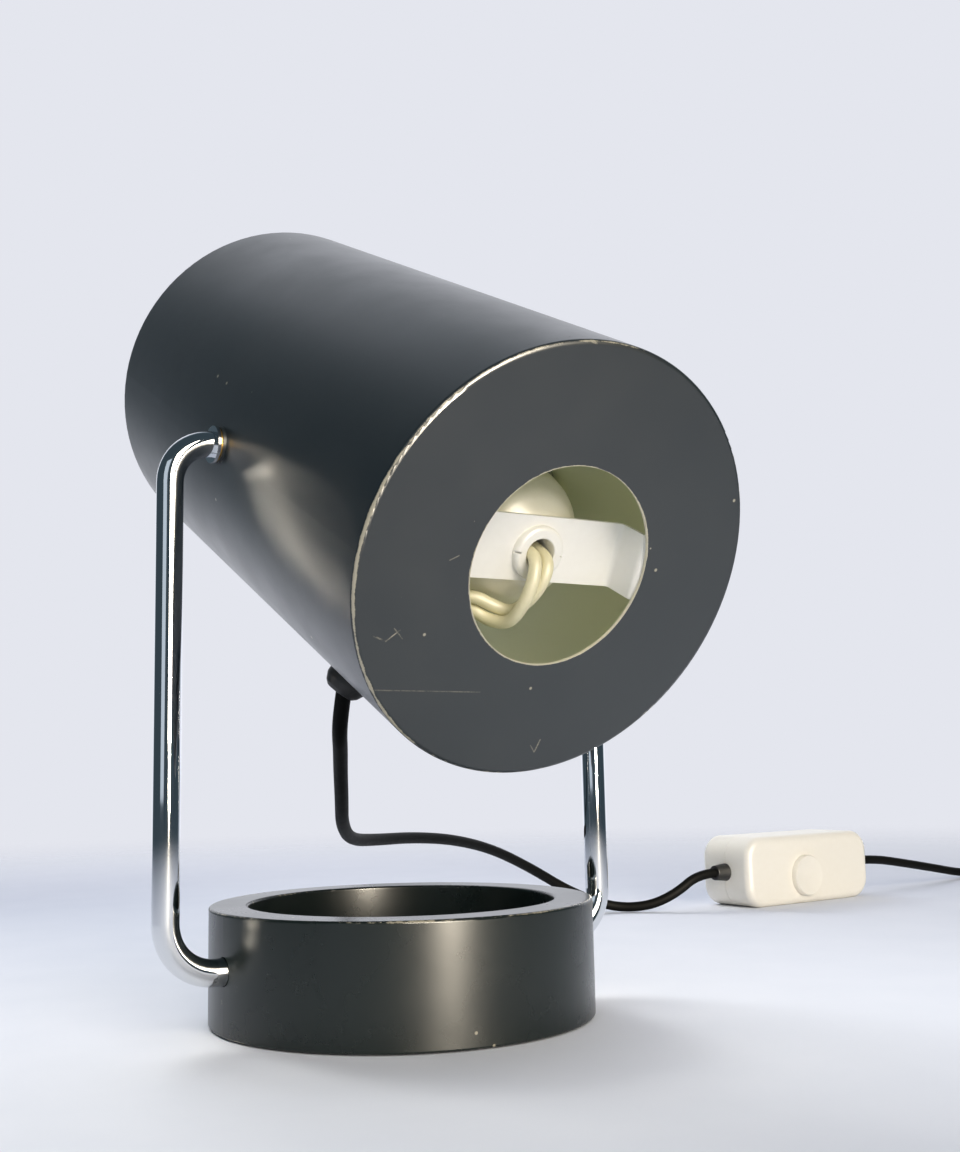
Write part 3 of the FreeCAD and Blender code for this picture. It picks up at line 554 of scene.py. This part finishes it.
def paperMaterial(v):
    # matt cartridge paper with a faint tooth, fading out far from the lamp
    material, tree, surface = newMaterial("mattPaperSweep")
    coords = addNode(tree, "TexCoord").outputs["Object"]
    tooth = addNode(tree, "TexNoise", {"Vector": coords, "Scale": 30, "Detail": 6})
    tone = addNode(tree, "Mix", {"Factor": tooth.outputs["Fac"], "A": linear(v["paper"]),
                                 "B": linear(v["paperLight"])}, data_type="RGBA")
    tree.links.new(tone.outputs["Result"], surface.inputs["Base Color"])
    surface.inputs["Roughness"].default_value = 0.9
    surface.inputs["Specular IOR Level"].default_value = 0.1
    far = addNode(tree, "VectorMath", {0: coords}, operation="LENGTH")
    kept = addNode(tree, "MapRange", {"Value": far.outputs["Value"], "From Min": v["fadeTo"],
                                      "From Max": v["fadeFrom"]}, interpolation_type="SMOOTHSTEP")
    tree.links.new(kept.outputs[0], surface.inputs["Alpha"])
    return material


bpy.ops.mesh.primitive_plane_add(size=studio["floorSize"], location=(0, 0, 0))
floor = bpy.context.object
floor.name = "floor"
dress(floor, paperMaterial(studio))


def studioAir(v):
    world = bpy.data.worlds.new("studioAir")
    scene.world = world
    world.use_nodes = True
    tree = world.node_tree
    lit = tree.nodes["Background"]
    way = addNode(tree, "TexCoord").outputs["Generated"]
    split = addNode(tree, "SeparateXYZ", {0: way})
    level = addNode(tree, "CombineXYZ", {"X": split.outputs["X"], "Y": split.outputs["Y"]})
    heading = addNode(tree, "VectorMath", {0: level.outputs[0]}, operation="NORMALIZE")
    side = addNode(tree, "VectorMath", {0: heading.outputs[0], 1: v["toward"]}, operation="DOT_PRODUCT")
    ahead = addNode(tree, "MapRange", {"Value": side.outputs["Value"], "From Min": v["sideFrom"],
                                       "From Max": v["sideFull"]}, interpolation_type="SMOOTHSTEP")
    low = addNode(tree, "MapRange", {"Value": split.outputs["Z"], "From Min": v["topFrom"],
                                     "From Max": v["topFull"]}, interpolation_type="SMOOTHSTEP")
    lobe = addNode(tree, "Math", {0: ahead.outputs[0], 1: low.outputs[0]}, operation="MULTIPLY")
    power = addNode(tree, "MapRange", {"Value": lobe.outputs[0], "To Min": v["dimStrength"],
                                       "To Max": v["brightStrength"]})
    tone = addNode(tree, "Mix", {"Factor": lobe.outputs[0], "A": linear(v["dim"]), "B": linear(v["seen"])},
                   data_type="RGBA")
    tree.links.new(tone.outputs["Result"], lit.inputs["Color"])
    tree.links.new(power.outputs[0], lit.inputs["Strength"])
    seen = addNode(tree, "Background", {"Color": linear(v["seen"]), "Strength": v["seenStrength"]})
    ray = addNode(tree, "LightPath")
    both = addNode(tree, "MixShader", {0: ray.outputs["Is Camera Ray"], 1: lit.outputs[0],
                                       2: seen.outputs[0]})
    tree.links.new(both.outputs[0], tree.nodes["World Output"].inputs["Surface"])


studioAir(studio)


# size and place in metres, power in watts; mirrored: seen in gloss; lights: falls on matt surfaces
lights = {
    "windowLight": {"place": (0.17, 2.55, 1.02), "aim": (0, 0, 0.12), "size": (1.36, 1.87), "power": 63,
                    "colour": "#fff4e2", "mirrored": True, "lights": True, "spread": 180},
    "windowGlint": {"place": (0.10, 2.47, 0.77), "aim": (0, 0, 0.12), "size": (0.60, 1.53), "power": 165,
                    "colour": "#fff2dc", "mirrored": True, "lights": False, "spread": 180},
    "sillGlint": {"place": (0.06, 1.60, 0.13), "aim": (0, 0, 0.04), "size": (0.30, 0.22), "power": 32,
                  "colour": "#fff2dc", "mirrored": True, "lights": False, "spread": 180},
    "wallLight": {"place": (1.25, 0.70, 0.60), "aim": (0, 0, 0.12), "size": (0.80, 1.2), "power": 2.5,
                  "colour": "#dfe9f2", "mirrored": True, "lights": True, "spread": 180},
    "ceilingLight": {"place": (0.1, 0.2, 1.7), "aim": (0, 0, 0), "size": (1.6, 1.6), "power": 5.6,
                     "colour": "#e6ecff", "mirrored": False, "lights": True, "spread": 180},
    "mouthLight": {"place": (0.0, -0.75, 0.62), "aim": (0, 0, 0.17), "size": (0.5, 0.5), "power": 0.85,
                   "colour": "#fffdf2", "mirrored": False, "lights": True, "spread": 50},
    "farFill": {"place": (-0.20, -0.75, 0.75), "aim": (-0.20, -0.75, 0), "size": (0.8, 0.8), "power": 3.0,
                "colour": "#f0f1fc", "mirrored": False, "lights": True, "spread": 180},
}


def softLight(name, v):
    data = bpy.data.lights.new(name, "AREA")
    data.shape = "RECTANGLE"
    data.size, data.size_y = v["size"]
    data.energy = v["power"]
    data.spread = math.radians(v["spread"])
    data.color = linear(v["colour"])[:3]
    lamp = bpy.data.objects.new(name, data)
    scene.collection.objects.link(lamp)
    lamp.location = v["place"]
    lamp.rotation_euler = (Vector(v["aim"]) - Vector(v["place"])).to_track_quat("-Z", "Y").to_euler()
    lamp.visible_glossy = v["mirrored"]
    lamp.visible_diffuse = v["lights"]


for name, facts in lights.items():
    softLight(name, facts)

scene.view_settings.view_transform = "Standard"
print("light ready")
